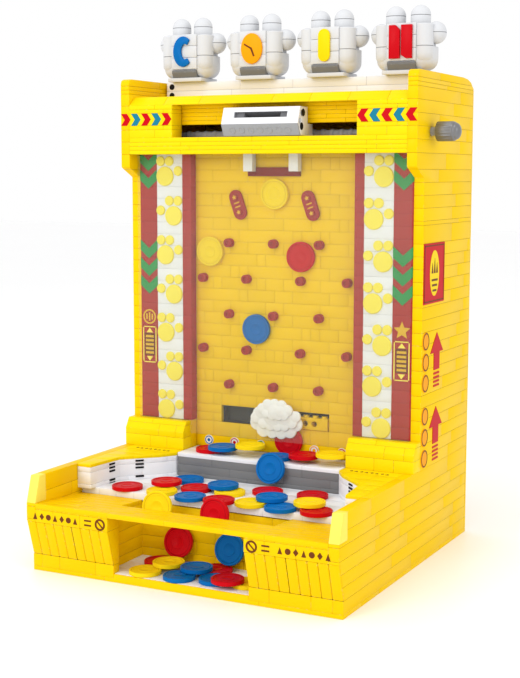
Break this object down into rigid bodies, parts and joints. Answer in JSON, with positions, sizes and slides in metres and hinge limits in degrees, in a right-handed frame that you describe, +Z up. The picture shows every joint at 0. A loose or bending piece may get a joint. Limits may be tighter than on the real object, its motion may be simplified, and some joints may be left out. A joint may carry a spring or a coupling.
{
  "type": "coin pusher machine",
  "caption": "Desktop coin pusher machine of interlocking bricks: peg board tower with a sideways coin carriage turned by a knob, sliding pusher shelf, playfield and coin tray.",
  "frame": {"origin": "centre of the square base, on the ground", "axes": "+X to the player's right, -Y towards the player, +Z up"},
  "size_m": [0.279, 0.2641, 0.4277],
  "materials": {
    "yellow_plastic": "glossy moulded plastic",
    "pale_yellow_plastic": "glossy moulded plastic",
    "white_plastic": "glossy moulded plastic",
    "red_plastic": "glossy moulded plastic",
    "dark_red_plastic": "glossy moulded plastic",
    "blue_plastic": "glossy moulded plastic",
    "orange_plastic": "glossy moulded plastic",
    "brown_plastic": "glossy moulded plastic",
    "light_grey_plastic": "glossy moulded plastic",
    "dark_grey_plastic": "satin moulded plastic",
    "silver_plastic": "metal-coated plastic, satin",
    "clear_plastic": "clear glossy plastic"
  },
  "bodies": {
    "pusher": {"pusher_deck": "white_plastic", "pusher_riser": "dark_grey_plastic", "pusher_rack": "light_grey_plastic"},
    "drive": {"drive_axle": "dark_grey_plastic", "drive_gear": "light_grey_plastic"},
    "motor_shaft": {"motor_gear": "dark_grey_plastic"},
    "carriage": {"carriage_body": "white_plastic", "carriage_grille": "light_grey_plastic", "chute_guides": "white_plastic", "drop_bar": "dark_red_plastic", "screw_nut": "light_grey_plastic"},
    "knob": {"lead_screw": "light_grey_plastic", "knob_grip": "dark_grey_plastic", "knob_cap": "silver_plastic"},
    "cloud_slider": {"cloud": "white_plastic", "cloud_slider": "yellow_plastic"},
    "cabinet": {"base_plate": "yellow_plastic", "base_walls": "yellow_plastic", "corner_slopes": "pale_yellow_plastic", "front_panels": "yellow_plastic", "rib_tiles": "yellow_plastic", "front_discs": "brown_plastic", "tray_floor": "white_plastic", "tray_walls": "yellow_plastic", "ledge": "yellow_plastic", "playfield": "white_plastic", "funnel_walls": "white_plastic", "side_decks": "yellow_plastic", "shoulders": "yellow_plastic", "cabinet_wall_left": "yellow_plastic", "cabinet_wall_right": "yellow_plastic", "rear_cover": "yellow_plastic", "roof_panel": "yellow_plastic", "roof_tray": "white_plastic", "paw_figures": "white_plastic", "paw_signs": "blue_plastic", "header_lower": "yellow_plastic", "header_blocks": "yellow_plastic", "header_back": "yellow_plastic", "header_top": "yellow_plastic", "chevrons": "red_plastic", "peg_board": "yellow_plastic", "board_pegs": "red_plastic", "bumpers": "red_plastic", "red_panels": "red_plastic", "white_panels": "white_plastic", "paw_prints": "yellow_plastic", "window_pane": "clear_plastic", "pusher_guides": "yellow_plastic", "slider_guide": "yellow_plastic", "number_tiles": "white_plastic", "side_graphics": "red_plastic", "side_rings": "orange_plastic", "drive_frame": "light_grey_plastic", "motor_body": "light_grey_plastic", "battery_box": "dark_grey_plastic", "battery_lid": "dark_grey_plastic", "coins_red": "red_plastic", "coins_blue": "blue_plastic", "coins_yellow": "yellow_plastic"}
  },
  "joints": [
    {"name": "pusher_slide", "type": "slide", "parent": "cabinet", "child": "pusher", "axis": [0, 1, 0], "range_m": [0, 0.031]},
    {"name": "drive_gear_turn", "type": "hinge", "parent": "cabinet", "child": "drive", "pos_m": [0, 0.056, 0.0524], "axis": [1, 0, 0], "range_deg": [-150, 2]},
    {"name": "motor_gear_turn", "type": "hinge", "parent": "cabinet", "child": "motor_shaft", "pos_m": [0, 0.056, 0.0344], "axis": [1, 0, 0], "range_deg": [-2, 298]},
    {"name": "carriage_slide", "type": "slide", "parent": "cabinet", "child": "carriage", "axis": [1, 0, 0], "range_m": [-0.04, 0.04]},
    {"name": "knob_turn", "type": "hinge", "parent": "cabinet", "child": "knob", "pos_m": [0.128, 0.03, 0.33], "axis": [1, 0, 0], "range_deg": [-902, 902]},
    {"name": "cloud_slide", "type": "slide", "parent": "cabinet", "child": "cloud_slider", "axis": [1, 0, 0], "range_m": [-0.031, 0]}
  ],
  "couplings": [
    {"joint": "drive_gear_turn", "follows": "pusher_slide", "rad_per_m": -83.333},
    {"joint": "motor_gear_turn", "follows": "pusher_slide", "rad_per_m": 166.67},
    {"joint": "knob_turn", "follows": "carriage_slide", "rad_per_m": 392.7}
  ]
}
